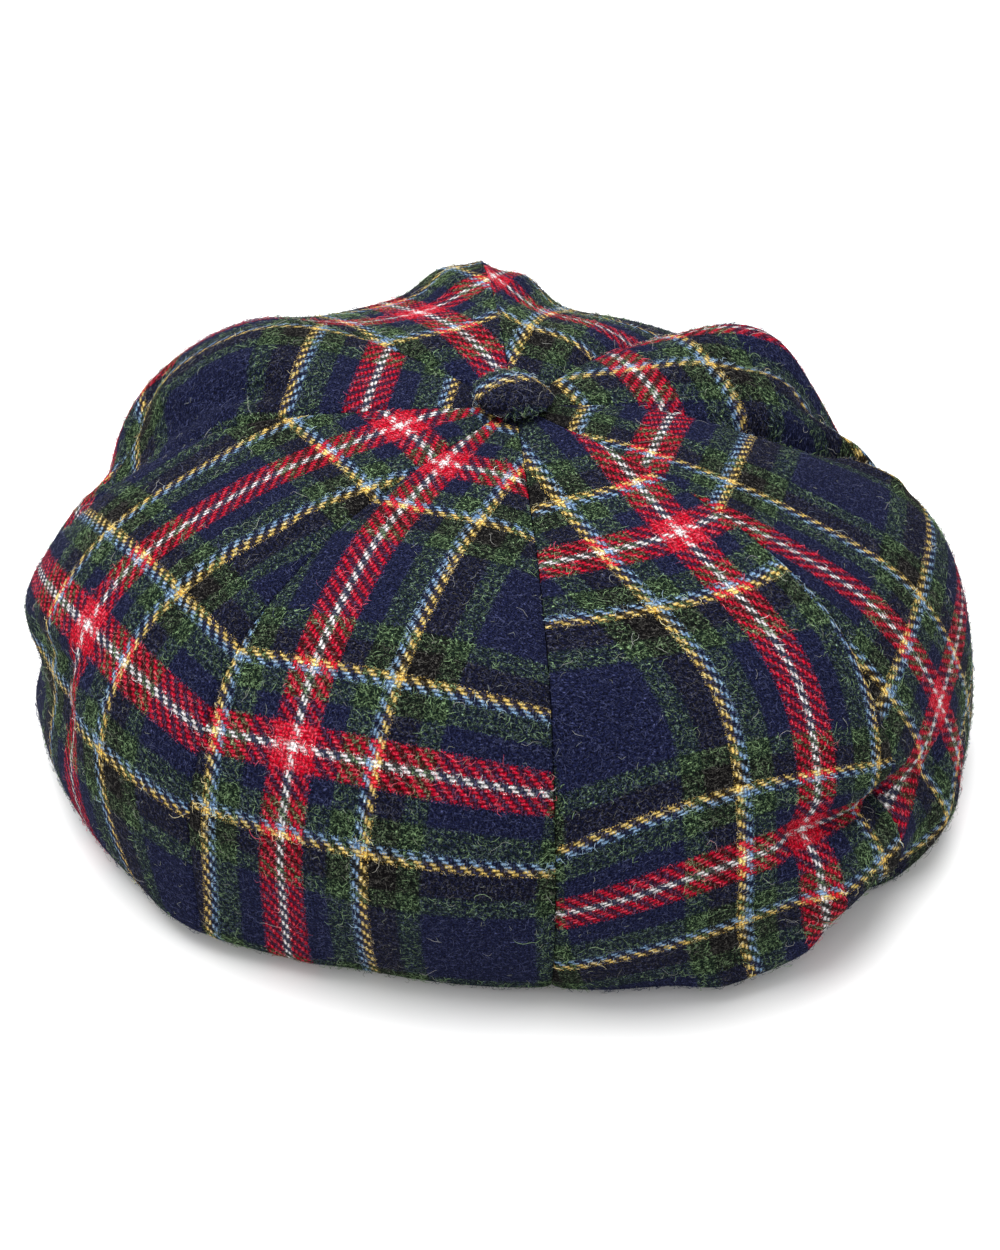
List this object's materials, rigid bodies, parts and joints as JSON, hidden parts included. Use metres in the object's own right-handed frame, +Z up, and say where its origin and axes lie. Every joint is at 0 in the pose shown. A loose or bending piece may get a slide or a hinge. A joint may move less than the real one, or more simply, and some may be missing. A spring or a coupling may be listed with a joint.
{
  "type": "baker boy cap",
  "caption": "Soft, full baker boy cap of gathered tartan wool panels with a covered button on top, a headband and a stiff covered peak. Worn on the head.",
  "frame": {"origin": "the middle of the cap's footprint, on the surface that it rests on", "axes": "+Z up, +Y to the front, where the peak is, +X to the right seen from behind"},
  "size_m": [0.2866, 0.3096, 0.1149],
  "materials": {
    "crown_tartan": "brushed tartan wool twill, navy, green and black with red, white, yellow and light blue lines",
    "button_cloth": "the same cloth stretched over a button",
    "band_cloth": "the same cloth, folded and stitched",
    "peak_cloth": "the same cloth, stretched over a stiff board"
  },
  "bodies": {
    "root": {"crown_panel_1": "crown_tartan", "crown_panel_2": "crown_tartan", "crown_panel_3": "crown_tartan", "crown_panel_4": "crown_tartan", "crown_panel_5": "crown_tartan", "crown_panel_6": "crown_tartan", "crown_panel_7": "crown_tartan", "crown_panel_8": "crown_tartan", "top_button": "button_cloth", "headband": "band_cloth", "peak": "peak_cloth"}
  },
  "joints": []
}
